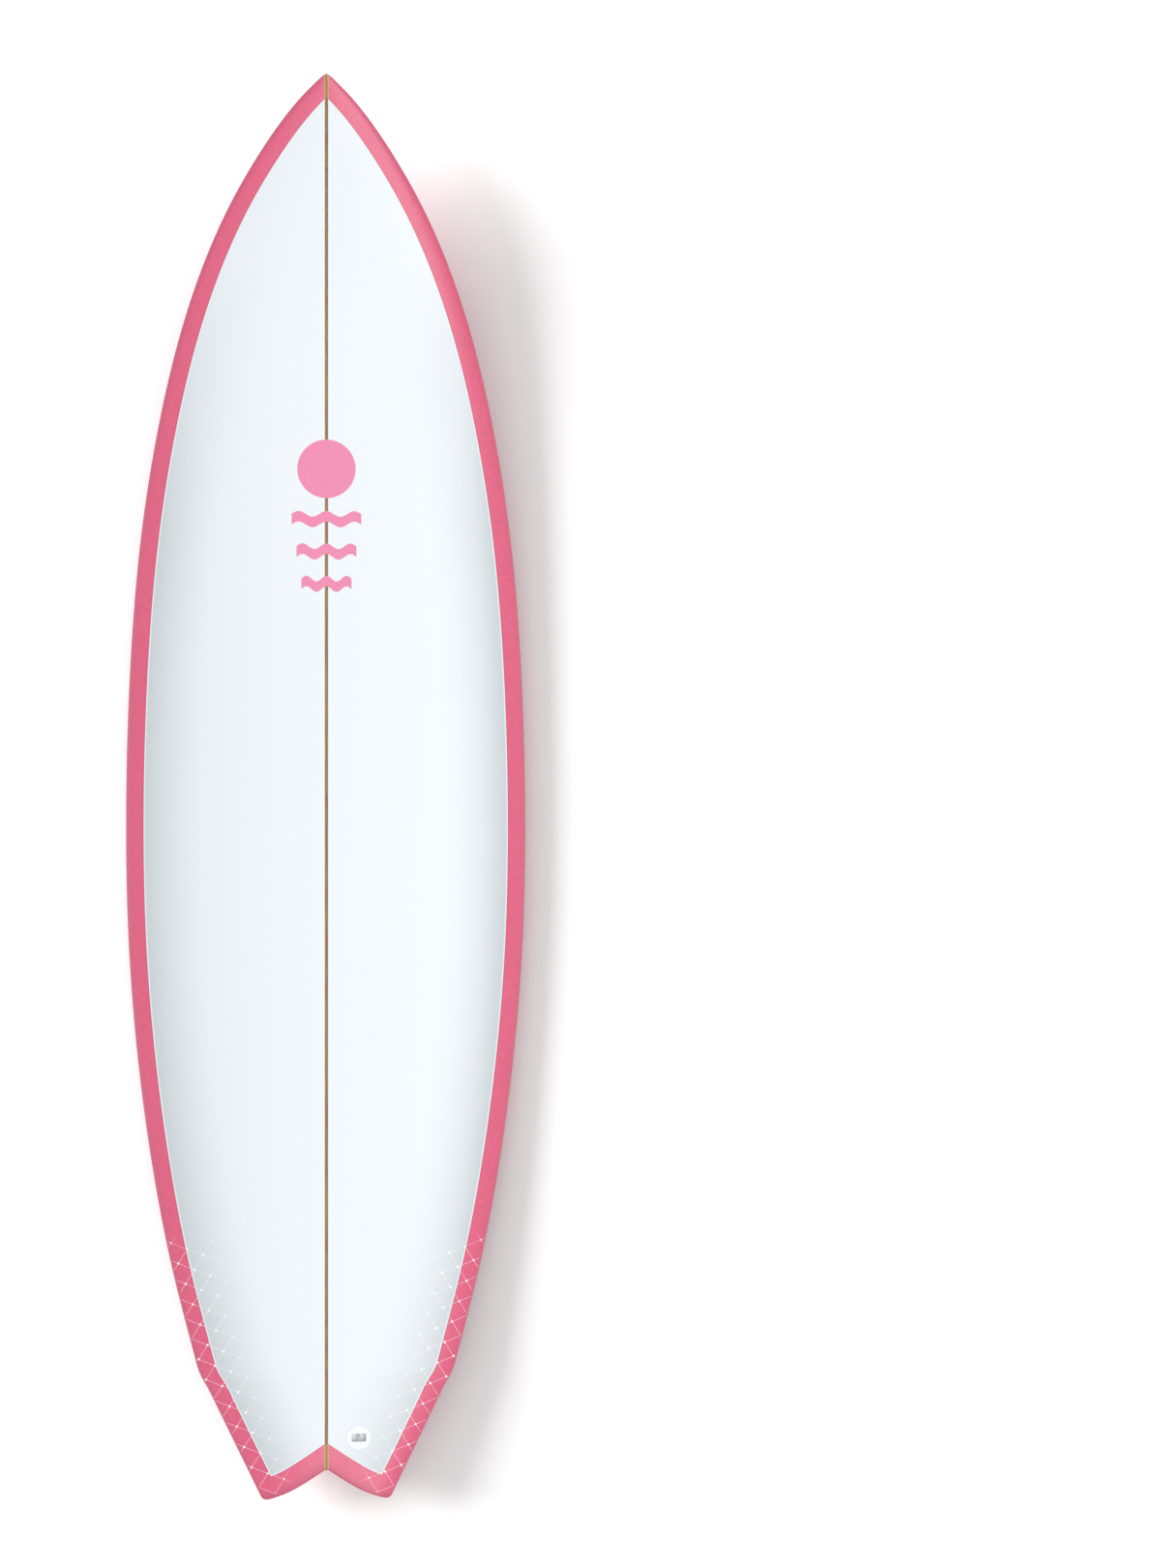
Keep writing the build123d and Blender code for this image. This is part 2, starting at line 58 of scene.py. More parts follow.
TIP_RADIUS = 4.0
THICKNESS = [
    (0.0, 7.0), (135.0, 21.0), (305.0, 35.5), (575.0, 55.0), (845.0, 63.5), (1160.0, 56.5),
    (1445.0, 39.5), (1610.0, 28.5), (1713.0, 19.5), (1750.0, 13.0),
]
RAIL_HEIGHT = [(0.0, 0.50), (400.0, 0.43), (900.0, 0.38), (1400.0, 0.30), (1750.0, 0.22)]
EDGE_POWER = [(0.0, 3.0), (400.0, 5.0), (900.0, 7.0), (1400.0, 12.0), (1750.0, 24.0)]
CONCAVE = [(0.0, 0.0), (300.0, 0.5), (900.0, 2.5), (1400.0, 2.5), (1750.0, 0.5)]
DECK_POWER = 2.7
CROTCH = (2.5, 1713.0)
NOTCH_EDGE = [(27.0, 1729.0), (45.5, 1739.5), (61.0, 1746.0), (100.0, 1757.0)]
SKIN_SHOWN = 0.6  # a little less than the CAD's skin, so that it stays clear of the foam
SHARP_DEGREES = 50.0
LAP, NOTCH_LAP = 23.0, 27.5
FIN_BOXES = {"left": (-143.0, 1457.0, 0.8), "right": (143.0, 1457.0, 0.8), "centre": (0.0, 1609.5, 0.0)}
FLANGE_LENGTH, FLANGE_WIDTH, BOX_BED = 145.0, 31.0, 0.9
FRAME_LENGTH, FRAME_WIDTH = 126.0, 11.0
PLUG_PLACE, CUP_RADIUS, CUP_BED = (40.0, 1673.0), 14.75, 0.8
DECK_NOTCH_ROUND, BOTTOM_NOTCH_ROUND = 2.2, 1.0
DECK_ROUND_SHARE, BOTTOM_ROUND_SHARE = 0.6, 0.2  # of the thickness there, at most


def spline_through(stations):
    """Make the natural cubic spline through (place, value) stations, as a function of place."""
    places, values = np.array(stations).T
    steps = np.diff(places)
    rises = np.diff(values) / steps
    count = len(places)
    system = np.eye(count)
    target = np.zeros(count)
    for i in range(1, count - 1):
        system[i, i - 1 : i + 2] = steps[i - 1], 2 * (steps[i - 1] + steps[i]), steps[i]
        target[i] = 6 * (rises[i] - rises[i - 1])
    bends = np.linalg.solve(system, target)

    def value_at(place):
        place = np.asarray(place, dtype=float)
        i = np.clip(np.searchsorted(places, place) - 1, 0, count - 2)
        ahead = (places[i + 1] - place) / steps[i]
        behind = (place - places[i]) / steps[i]
        curl = (ahead**3 - ahead) * bends[i] + (behind**3 - behind) * bends[i + 1]
        return ahead * values[i] + behind * values[i + 1] + curl * steps[i] ** 2 / 6

    return value_at


outline_by_root = spline_through([(math.sqrt(place), width) for place, width in OUTLINE])
thickness_at = spline_through(THICKNESS)
rail_height_at = spline_through(RAIL_HEIGHT)
edge_power_at = spline_through(EDGE_POWER)
concave_at = spline_through(CONCAVE)


def half_width(station):
    """Half the board's width, with the wing, the straight run behind it and the round tail tip."""
    station = np.asarray(station, dtype=float)
    run = TAIL_RUN_WIDTH + TAIL_RUN_SLOPE * (LENGTH - station)
    into_tip = np.clip(station - (LENGTH - TIP_RADIUS), 0, TIP_RADIUS)
    run = run - TIP_RADIUS + np.sqrt(TIP_RADIUS**2 - into_tip**2)
    curve = outline_by_root(np.sqrt(np.clip(station, 0, WING_END)))
    part = np.clip((station - WING_START) / (WING_END - WING_START), 0, 1)
    blend = part * part * (3 - 2 * part)
    return (1 - blend) * curve + blend * run


def inset_width(station, inset):
    """Half the width inside a band of the given width along the outline."""
    station = np.asarray(station, dtype=float)
    reach = np.minimum(10.0, station / 2)
    behind = station - reach
    ahead = np.minimum(station + reach, LENGTH - TIP_RADIUS)
    slope = (half_width(ahead) - half_width(behind)) / np.maximum(ahead - behind, 1e-6)
    return half_width(station) - inset * np.sqrt(1 + slope**2)


def rocker(station):
    """Height of the bottom above the floor, at its flat level."""
    to_nose = np.clip((FLAT_SPOT - station) / FLAT_SPOT, 0, 1)
    to_tail = np.clip((station - FLAT_SPOT) / (LENGTH - FLAT_SPOT), 0, 1)
    return NOSE_ROCKER * to_nose**NOSE_ROCKER_POWER + TAIL_ROCKER * to_tail**TAIL_ROCKER_POWER - FLAT_DROP


def rail_line(station):
    """Height of the rail's widest line above the floor."""
    return rocker(station) + rail_height_at(station) * thickness_at(station)


def notch_station(grow):
    """The right edge of the swallow notch, moved to the nose by grow: a function from x to station."""
    edge = [np.array(point) for point in [CROTCH] + NOTCH_EDGE]
    points = []
    for i, point in enumerate(edge):
        along = edge[min(i + 1, len(edge) - 1)] - edge[max(i - 1, 0)]
        along = along / np.linalg.norm(along)
        moved = point + np.array((along[1], -along[0])) * grow
        if i == 0:
            moved = moved - along * (moved[0] - CROTCH[0]) / along[0]
        points.append(moved)
    curve = spline_through(points)
    flat = 0.02  # a trace of slope across the crotch keeps the stations in order

    def station_at(x):
        x = np.abs(x)
        across_crotch = points[0][1] + flat * (x - CROTCH[0])
        return np.where(x < CROTCH[0], across_crotch, curve(np.maximum(x, CROTCH[0])))

    return station_at


notch_edge = notch_station(0.0)
notch_lap = notch_station(NOTCH_LAP)
TIP_X = float(half_width(LENGTH))
CROTCH_STATION = float(notch_edge(0.0))


def round_over(distance, radius):
    """How far an edge of that radius drops the surface, at a distance from the edge."""
    into = np.clip(radius - distance, 0, radius)
    return radius - np.sqrt(radius**2 - into**2)


def notch_distance(x, station):
    """Distance ahead of the notch's edge, square to it."""
    slope = notch_edge(np.abs(x) + 1.0) - notch_edge(np.abs(x))
    gap = np.clip(notch_edge(np.minimum(np.abs(x), TIP_X)), 0, LENGTH) - station
    return np.maximum(gap, 0) / np.sqrt(1 + slope**2)


def room_at(share, station):
    """The board's thickness at a share of its half width."""
    thick = thickness_at(station)
    above = (1 - rail_height_at(station)) * thick * np.sqrt(1 - share**DECK_POWER)
    below = rail_height_at(station) * thick * np.sqrt(1 - share ** edge_power_at(station))
    return np.maximum(above + below - concave_at(station) * (1 - share**2) ** 2, 0)


def deck_point(x, station, lift=0.0):
    """A point on the deck in metres, in the row frame."""
    share = np.clip(np.abs(x) / np.maximum(half_width(station), 1e-6), 0, 1)
    crown = (1 - rail_height_at(station)) * thickness_at(station)
    z = rail_line(station) + crown * np.sqrt(1 - share**DECK_POWER)
    radius = np.minimum(DECK_NOTCH_ROUND, DECK_ROUND_SHARE * room_at(share, station))
    z = z - round_over(notch_distance(x, station), radius) + lift
    return np.stack([x + 0 * z, LENGTH / 2 - station + 0 * z, z], axis=-1) * MM


def bottom_point(x, station, lift=0.0):
    """A point on the bottom in metres, in the row frame. A positive lift is out of the board."""
    share = np.clip(np.abs(x) / np.maximum(half_width(station), 1e-6), 0, 1)
    drop = rail_height_at(station) * thickness_at(station)
    hollow = concave_at(station) * (1 - share**2) ** 2
    z = rail_line(station) - drop * np.sqrt(1 - share ** edge_power_at(station)) + hollow
    radius = np.minimum(BOTTOM_NOTCH_ROUND, BOTTOM_ROUND_SHARE * room_at(share, station))
    z = z + round_over(notch_distance(x, station), radius) - lift
    return np.stack([x + 0 * z, LENGTH / 2 - station + 0 * z, z], axis=-1) * MM


# ---- mesh helpers ----
def grid_faces(bm, points, flip=False):
    """Add a grid of quads through an array of points, rows by columns by 3."""
    rows, columns = points.shape[:2]
    verts = [[bm.verts.new(points[i, j]) for j in range(columns)] for i in range(rows)]
    for i in range(rows - 1):
        for j in range(columns - 1):
            corners = [verts[i][j], verts[i + 1][j], verts[i + 1][j + 1], verts[i][j + 1]]
            bm.faces.new(corners if flip else reversed(corners))


def both_sides(bm, points, flip=False):
    """Add a grid for the right side and its mirror for the left."""
    grid_faces(bm, points, flip)
    grid_faces(bm, points * np.array([-1.0, 1.0, 1.0]), not flip)


def finished(bm, name, weld=1e-6):
    """Weld a mesh, drop what collapsed, and make it an object."""
    bmesh.ops.remove_doubles(bm, verts=bm.verts, dist=weld)
    bmesh.ops.dissolve_degenerate(bm, edges=bm.edges, dist=weld)
    loose = [v for v in bm.verts if not v.link_faces]
    bmesh.ops.delete(bm, geom=loose, context="VERTS")
    mesh = bpy.data.meshes.new(name)
    bm.to_mesh(mesh)
    bm.free()
    piece = bpy.data.objects.new(name, mesh)
    bpy.context.scene.collection.objects.link(piece)
    return piece


def apply_modifiers(piece):
    """Bake a piece's modifiers into its mesh."""
    depsgraph = bpy.context.evaluated_depsgraph_get()
    baked = bpy.data.meshes.new_from_object(piece.evaluated_get(depsgraph))
    piece.modifiers.clear()
    piece.data = baked


def thicken(piece, thickness):
    """Give an open skin its thickness, inward."""
    shell = piece.modifiers.new("shell", "SOLIDIFY")
    shell.thickness = thickness * MM
    shell.offset = -1.0
    apply_modifiers(piece)


def cut_out(piece, tools):
    """Cut the tools' shapes out of a closed piece, and remove the tools."""
    for tool in tools:
        cut = piece.modifiers.new("cut", "BOOLEAN")
        cut.object = tool
        cut.operation = "DIFFERENCE"
        cut.solver = "EXACT"
    apply_modifiers(piece)
    for tool in tools:
        bpy.data.objects.remove(tool)


# ---- planes on the surface, for what is let into it ----
def surface_place(x, station, deck, toe_in=0.0):
    """The matrix of a plane on the surface: x to the nose, z out of the board."""
    at = deck_point if deck else bottom_point
    origin = Vector(at(x, station))
    along = Vector(at(x, station - 1.0)) - Vector(at(x, station + 1.0))
    aside = Vector(at(x + 1.0, station)) - Vector(at(x - 1.0, station))
    out = aside.cross(along).normalized() * (1 if deck else -1)
    turn = math.radians(toe_in) * (-1 if x > 0 else 1)
    forward = Vector((math.sin(turn), math.cos(turn), 0))
    forward = (forward - out * forward.dot(out)).normalized()
    left = out.cross(forward)
    place = Matrix((forward, left, out)).transposed().to_4x4()
    place.translation = origin
    return place


BOX_PLACES = {name: surface_place(x, station, False, toe) for name, (x, station, toe) in FIN_BOXES.items()}
PLUG_MATRIX = surface_place(*PLUG_PLACE, True)


def stadium(length, width, steps=24):
    """The outline of a slot shape, round ends first to last, in the plane of x and y."""
    radius = width / 2
    middle = length / 2 - radius
    angles = np.linspace(-math.pi / 2, math.pi / 2, steps)
    nose = [(middle + radius * math.cos(a), radius * math.sin(a)) for a in angles]
    return nose + [(-x, -y) for x, y in nose]


def prism_tool(name, outline, place, reach=6.0):
    """A closed prism through the surface at a place, to cut a pocket's mouth."""
    bm = bmesh.new()
    rings = []
    for height in (-reach, reach):
        rings.append([bm.verts.new(place @ Vector((x * MM, y * MM, height * MM))) for x, y in outline])
    bm.faces.new(reversed(rings[0]))
    bm.faces.new(rings[1])
    for i in range(len(outline)):
        k = (i + 1) % len(outline)
        bm.faces.new([rings[0][i], rings[0][k], rings[1][k], rings[1][i]])
    return finished(bm, name)


# ---- the glass skin ----
CROWD = 2.2
NOSE_ROWS, NOSE_END = 46, 220.0  # rows that crowd towards the nose, and where they end
ROW, FINE_ROW, FINE_RUN = 6.0, 1.0, 12.0
DECK_COLUMNS, LAP_COLUMNS, BOTTOM_COLUMNS, WALL_ROWS = 30, 15, 34, 7
NOTCH_POINTS, LAP_NOTCH_POINTS = 30, 24
LAP_LOOKUP = 6000  # points at which a place on the lap is looked up from one on the outline
RAIL_PARTNER_FADE = 60.0
SKIN_WELD = 2e-5  # metres
BOTTOM_MIX_START = 1600.0  # from here the bottom's columns start to crowd to the notch as well


def crowded(count):
    """Shares from 0 to 1 that crowd towards 1."""
    return 1 - (1 - np.linspace(0, 1, count)) ** CROWD


def row_stations(first, last):
    """Stations that crowd at the nose, then run evenly, then step finely ahead of a notch."""
    nose = first + np.linspace(0, 1, NOSE_ROWS)[:-1] ** 2 * (NOSE_END - first)
    run = np.arange(NOSE_END, last - FINE_RUN, ROW)
    fine = np.arange(last - FINE_RUN, last, FINE_ROW)
    return np.concatenate([nose, run, fine])


crotch_x = [0.0, CROTCH[0] / 2, CROTCH[0]]
notch_run = np.linspace(0, 1, NOTCH_POINTS)[1:] * (TIP_X - CROTCH[0])
notch_x = np.concatenate([crotch_x, CROTCH[0] + notch_run])
notch_s = np.array(notch_edge(notch_x))
# the notch's edge is stretched by a hair, so that it ends at the tail tip
stretch = (LENGTH - CROTCH_STATION) / (notch_s[-1] - CROTCH_STATION)
notch_s = CROTCH_STATION + (notch_s - CROTCH_STATION) * stretch
nose_stations = np.arange(20.0, 40.0, 0.1)
LAP_FIRST = float(np.interp(0.0, inset_width(nose_stations, LAP), nose_stations))
corner_x = np.linspace(40.0, 80.0, 801)
corner_gap = inset_width(notch_lap(corner_x), LAP) - corner_x
LAP_CORNER = float(np.interp(0.0, -corner_gap, corner_x))
LAP_LAST = float(notch_lap(LAP_CORNER))
lap_notch_x = np.concatenate([crotch_x, np.linspace(CROTCH[0], LAP_CORNER, LAP_NOTCH_POINTS)[1:]])
lap_notch_s = np.array(notch_lap(lap_notch_x))


def deck_panel():
    """The deck inside the cut lap, in rows across it from the nose to the corners by the notch."""
    bm = bmesh.new()
    shares = crowded(DECK_COLUMNS)
    stations = np.concatenate([row_stations(LAP_FIRST, lap_notch_s[0]), lap_notch_s])
    inner = np.concatenate([np.zeros(len(stations) - len(lap_notch_s)), lap_notch_x])
    outer = np.maximum(inset_width(stations, LAP), inner)
    outer[0] = 0.0
    outer[-1] = LAP_CORNER
    x = inner[:, None] + (outer - inner)[:, None] * shares[None, :]
    both_sides(bm, deck_point(x, stations[:, None] + 0 * x), flip=True)
    return finished(bm, "deck_skin")


def rail_partner(lap_station):
    """The station on the outline that faces a station on the cut lap."""
    from_nose = LAP_FIRST * np.exp(-(lap_station - LAP_FIRST) / RAIL_PARTNER_FADE)
    to_tail = (LENGTH - LAP_LAST) * np.exp(-(LAP_LAST - lap_station) / RAIL_PARTNER_FADE)
    return lap_station - from_nose + to_tail


def wall_heights():
    """Heights of the notch wall's upper and lower edges, where the round edges start."""
    share = np.clip(notch_x / half_width(notch_s), 0, 1)
    crown = (1 - rail_height_at(notch_s)) * thickness_at(notch_s)
    high = rail_line(notch_s) + crown * np.sqrt(1 - share**DECK_POWER)
    room = room_at(share, notch_s)
    upper = high - np.minimum(DECK_NOTCH_ROUND, DECK_ROUND_SHARE * room)
    lower = high - room + np.minimum(BOTTOM_NOTCH_ROUND, BOTTOM_ROUND_SHARE * room)
    upper[-1] = lower[-1] = rail_line(LENGTH)
    return upper, lower


def between(first, last, shares):
    """Rows of numbers that go from the first column's to the last column's by shares."""
    return first[:, None] + (last - first)[:, None] * shares


def tinted_skin():
    """The tinted glass: the bottom, the rails, the lap on the deck, and the walls of the notch."""
    bm = bmesh.new()
    edge_s = np.concatenate([row_stations(0.0, CROTCH_STATION), notch_s])
    edge_x = np.array(half_width(edge_s))
    edge_x[-1] = TIP_X
    top, foot = wall_heights()
    # the lap's strip along each rail
    dense = np.linspace(LAP_FIRST, LAP_LAST, LAP_LOOKUP)
    lap_s = np.interp(edge_s, rail_partner(dense), dense)
    lap_x = np.array(inset_width(lap_s, LAP))
    lap_x[0] = 0.0
    lap_x[-1] = LAP_CORNER
    shares = crowded(LAP_COLUMNS)[None, :]
    strip = deck_point(between(lap_x, edge_x, shares), between(lap_s, edge_s, shares))
    strip[:, -1, 2] = rail_line(edge_s) * MM
    both_sides(bm, strip, flip=True)
    # the lap's strip along the notch
    along = np.linspace(0, 1, len(notch_x))
    inner_x = np.interp(along, np.linspace(0, 1, len(lap_notch_x)), lap_notch_x)
    inner_s = np.array(notch_lap(inner_x))
    strip = deck_point(between(inner_x, notch_x, shares), between(inner_s, notch_s, shares))
    strip[:, -1, 2] = top * MM
    both_sides(bm, strip)
    # the bottom
    inner = np.concatenate([np.zeros(len(edge_s) - len(notch_x)), notch_x])
    towards_edge = crowded(BOTTOM_COLUMNS)[None, :]
    towards_both = (1 - np.cos(np.linspace(0, math.pi, BOTTOM_COLUMNS)))[None, :] / 2
    mix = np.clip((edge_s - BOTTOM_MIX_START) / (CROTCH_STATION - BOTTOM_MIX_START), 0, 1)[:, None]
    x = between(inner, edge_x, towards_edge * (1 - mix) + towards_both * mix)
    low = bottom_point(x, edge_s[:, None] + 0 * x)
    low[:, -1, 2] = rail_line(edge_s) * MM
    low[-len(notch_x) :, 0, 2] = foot * MM
    low[-1, :, 2] = rail_line(LENGTH) * MM
    both_sides(bm, low)
    # the walls of the notch
    z = between(top, foot, np.linspace(0, 1, WALL_ROWS)[None, :])
    x = notch_x[:, None] + 0 * z
    y = LENGTH / 2 - notch_s[:, None] + 0 * z
    both_sides(bm, np.stack([x, y, z], axis=-1) * MM)
    return finished(bm, "tinted_skin", SKIN_WELD)


deck_skin = deck_panel()
tinted = tinted_skin()


# ---- distances kept on the vertices, which the finishes read ----
BOTTOM_NET = [(270, 1300), (108, 1370), (60, 1555), (14, 1680), (14, 1800), (300, 1800)]
DECK_NET = [(270, 1412), (131, 1419), (91, 1575), (33, 1720), (33, 1800), (300, 1800)]
SHADE_REACH, SHADE_START, SHADE_RUN = 80.0, 220.0, 330.0  # of the painted shade that greys the deck's sides towards the rails
SLOPE_REACH = 5.0  # ahead and behind, where the outline's slope is taken


def plan_of(piece):
    """The x, station and height of each vertex, in millimetres."""
    spots = np.empty(len(piece.data.vertices) * 3, dtype=np.float32)
    piece.data.vertices.foreach_get("co", spots)
    spots = spots.reshape(-1, 3).astype(float) / MM
    return spots[:, 0], np.clip(LENGTH / 2 - spots[:, 1], 0, LENGTH), spots[:, 2]


def keep_values(piece, name, values):
    """Keep a number on each vertex."""
    layer = piece.data.attributes.new(name, "FLOAT", "POINT")
    layer.data.foreach_set("value", np.asarray(values, dtype=np.float32))


def rail_lap_distance(x, station):
    """How far a point lies inside the cut lap along the rail, in millimetres."""
    ahead = half_width(np.minimum(station + SLOPE_REACH, LENGTH - TIP_RADIUS))
    slope = (ahead - half_width(np.maximum(station - SLOPE_REACH, 0))) / (2 * SLOPE_REACH)
    return (inset_width(station, LAP) - np.abs(x)) / np.sqrt(1 + slope**2)


def lap_distance(x, station):
    """How far a point lies inside the whole cut lap, in millimetres."""
    side = rail_lap_distance(x, station)
    bend = notch_lap(np.abs(x) + 1.0) - notch_lap(np.abs(x))
    tail = (notch_lap(x) - station) / np.sqrt(1 + bend**2)
    return np.minimum(side, np.where(np.abs(x) < LAP_CORNER + 20, tail, side))


def rail_shade(x, station):
    """How much painted shade greys the deck, for its dome turning down to the rail, from 1 at the rail's
    lap to 0 inboard; there is none at the nose.
    """
    inboard = np.clip(1 - rail_lap_distance(x, station) / SHADE_REACH, 0, 1)
    from_nose = np.clip((station - SHADE_START) / SHADE_RUN, 0, 1)
    return inboard**1.5 * from_nose


def depth_inside(x, station, outline):
    """How far a point lies inside a patch's outline, in millimetres; below nought it is outside."""
    points = np.array(outline, dtype=float)
    x = np.abs(x)
    nearest = np.full(np.shape(x), 1e9)
    inside = np.zeros(np.shape(x), dtype=bool)
    for (ax, ay), (bx, by) in zip(points, np.roll(points, -1, axis=0)):
        along_x, along_y = bx - ax, by - ay
        share = np.clip(((x - ax) * along_x + (station - ay) * along_y) / (along_x**2 + along_y**2), 0, 1)
        nearest = np.minimum(nearest, np.hypot(x - ax - share * along_x, station - ay - share * along_y))
        crosses = (ay > station) != (by > station)
        inside ^= crosses & (x < ax + (station - ay) * along_x / (along_y if along_y else 1.0))
    return np.where(inside, nearest, -nearest)


def finish_skin(piece, tools, net_outline):
    """Give a skin its thickness, cut the pockets in it, and keep its distances."""
    thicken(piece, SKIN_SHOWN)
    cut_out(piece, tools)
    piece.data.shade_smooth()
    piece.data.set_sharp_from_angle(angle=math.radians(SHARP_DEGREES))
    x, station, height = plan_of(piece)
    keep_values(piece, "lap", lap_distance(x, station))
    keep_values(piece, "shade", rail_shade(x, station))
    keep_values(piece, "net", depth_inside(x, station, net_outline))
    keep_values(piece, "deck_side", height > rail_line(station) + 0.5)


box_mouth = stadium(FLANGE_LENGTH + 2 * BOX_BED, FLANGE_WIDTH + 2 * BOX_BED)
plug_mouth = stadium(2 * (CUP_RADIUS + CUP_BED), 2 * (CUP_RADIUS + CUP_BED), 48)
box_tools = [prism_tool(f"mouth_{name}", box_mouth, place) for name, place in BOX_PLACES.items()]
finish_skin(tinted, box_tools, BOTTOM_NET)
finish_skin(deck_skin, [prism_tool("mouth_plug", plug_mouth, PLUG_MATRIX)], DECK_NET)

# ---- the fibre net: its threads and knots, on the surface of the skin ----
NET_STRIDES = {  # one knot, and the steps to the next along each thread, for the right side, y to the nose
    True: ((192.5, -559.0), (-20.0, -6.9), (10.9, -18.1)),
    False: ((205.0, -471.0), (-19.5, -7.4), (10.7, -17.8)),
}
THREAD_WIDTH, KNOT_WIDTH = 0.8, 2.7
NET_EDGE = 5.0  # from the patch's darkened edge to the threads' ends
NET_LIFT, FILM = 0.10, 0.16
KNOT_RISE, KNOT_RIM_RISE, KNOT_SIDES = 0.12, 0.02, 12
NOTCH_CLEARANCE, RAIL_CLEARANCE, TIP_CLEARANCE, BOX_CLEARANCE = 2.5, 1.5, 8.0, 1.6
PLUG_CLEARANCE, RING_CLEARANCE, STRINGER_CLEARANCE, KNOT_CLEARANCE = 2.0, 1.0, 3.0, 1.5
NET_REACH, STEPS_PER_KNOT, SHORTEST_THREAD = 34, 8, 3  # knots each way, and points along a thread
NET_FADE = 30.0
RING_PLACE, RING = (-66.0, 1475.0), (36.0, 33.0)  # the badge's, which the net keeps clear of


def net_keep(x, station, deck):
    """Where the net shows: inside its patch and the board, clear of the plug and the boxes."""
    keep = depth_inside(x, station, DECK_NET if deck else BOTTOM_NET) > NET_EDGE
    keep &= station < notch_edge(np.minimum(np.abs(x), TIP_X)) - NOTCH_CLEARANCE
    keep &= np.abs(x) < inset_width(np.minimum(station, LENGTH - TIP_CLEARANCE), RAIL_CLEARANCE)
    keep &= station < LENGTH - TIP_CLEARANCE
    if deck:
        return keep & (np.hypot(x - PLUG_PLACE[0], station - PLUG_PLACE[1]) > CUP_RADIUS + PLUG_CLEARANCE)
    keep &= np.hypot(x - RING_PLACE[0], station - RING_PLACE[1]) > RING[0] + RING_CLEARANCE
    for middle, place, toe_in in FIN_BOXES.values():
        turn = math.radians(toe_in) * np.sign(middle)
        ahead, aside = place - station, x - middle
        along = ahead * math.cos(turn) - aside * math.sin(turn)
        across = aside * math.cos(turn) + ahead * math.sin(turn)
        past = np.maximum(np.abs(along) - (FLANGE_LENGTH - FLANGE_WIDTH) / 2, 0)
        keep &= np.hypot(past, across) > FLANGE_WIDTH / 2 + BOX_CLEARANCE
    return keep


def add_strip(bm, spine, width, deck):
    """A ribbon of film along a line of (x, station) points on the surface."""
    along = np.gradient(spine, axis=0)
    along /= np.linalg.norm(along, axis=1)[:, None]
    square = np.stack([-along[:, 1], along[:, 0]], axis=1) * width / 2
    rims = [spine + square, spine, spine - square]
    at = deck_point if deck else bottom_point
    rows = np.stack([at(rim[:, 0], rim[:, 1], NET_LIFT) for rim in rims], axis=1)
    verts = [[bm.verts.new(point) for point in row] for row in rows]
    for i in range(len(verts) - 1):
        for j in range(2):
            corners = [verts[i][j], verts[i + 1][j], verts[i + 1][j + 1], verts[i][j + 1]]
            bm.faces.new(corners if deck else reversed(corners))


def add_knot(bm, x, station, deck, knot_layer):
    """A round drop of resin where two threads cross."""
    at = deck_point if deck else bottom_point
    middle = bm.verts.new(at(x, station, NET_LIFT + KNOT_RISE))
    middle[knot_layer] = 1.0
    ring = []
    for k in range(KNOT_SIDES):
        turn = 2 * math.pi * k / KNOT_SIDES
        rim_x = x + KNOT_WIDTH / 2 * math.cos(turn)
        rim_station = station + KNOT_WIDTH / 2 * math.sin(turn)
        ring.append(bm.verts.new(at(rim_x, rim_station, NET_LIFT + KNOT_RIM_RISE)))
        ring[-1][knot_layer] = 1.0
    for k in range(KNOT_SIDES):
        corners = [middle, ring[k], ring[(k + 1) % KNOT_SIDES]]
        bm.faces.new(reversed(corners) if deck else corners)


def net_piece(name, side, deck):
    """One patch of net, with its threads and its knots."""
    bm = bmesh.new()
    knot_layer = bm.verts.layers.float.new("knot")
    (start_x, start_y), first, second = NET_STRIDES[deck]
    start = np.array((start_x, LENGTH / 2 - start_y))
    strides = [np.array((dx, -dy)) for dx, dy in (first, second)]
    most = NET_REACH * STEPS_PER_KNOT
    steps = np.arange(-most, most + 1) / STEPS_PER_KNOT
    for along, across in (strides, strides[::-1]):
        for k in range(-NET_REACH, NET_REACH + 1):
            spine = (start + across * k + along * steps[:, None]) * (side, 1)
            keep = net_keep(spine[:, 0], spine[:, 1], deck) & (side * spine[:, 0] > STRINGER_CLEARANCE)
            cuts = np.flatnonzero(np.diff(np.concatenate([[0], keep.astype(int), [0]])))
            for first_kept, end in zip(cuts[::2], cuts[1::2]):
                if end - first_kept > SHORTEST_THREAD:
                    add_strip(bm, spine[first_kept:end], THREAD_WIDTH, deck)
    for i in range(-NET_REACH, NET_REACH + 1):
        for k in range(-NET_REACH, NET_REACH + 1):
            x, station = (start + strides[0] * i + strides[1] * k) * (side, 1)
            around_x = x + KNOT_CLEARANCE * np.array([-1, -1, 1, 1])
            around_station = station + KNOT_CLEARANCE * np.array([-1, 1, -1, 1])
            if side * x > STRINGER_CLEARANCE and net_keep(around_x, around_station, deck).all():
                add_knot(bm, x, station, deck, knot_layer)
    net = finished(bm, name, 1e-9)
    thicken(net, FILM)
    x, station, _ = plan_of(net)
    keep_values(net, "lap", lap_distance(x, station))
    keep_values(net, "shade", rail_shade(x, station))
    depth = depth_inside(x, station, DECK_NET if deck else BOTTOM_NET)
    keep_values(net, "fade", np.clip(depth / NET_FADE, 0, 1))
    return net


nets = {}
for side, side_name in ((-1, "left"), (1, "right")):
    for deck, face in ((True, "deck"), (False, "bottom")):
        nets[f"tail_net_{face}_{side_name}"] = net_piece(f"net_{face}_{side_name}", side, deck)

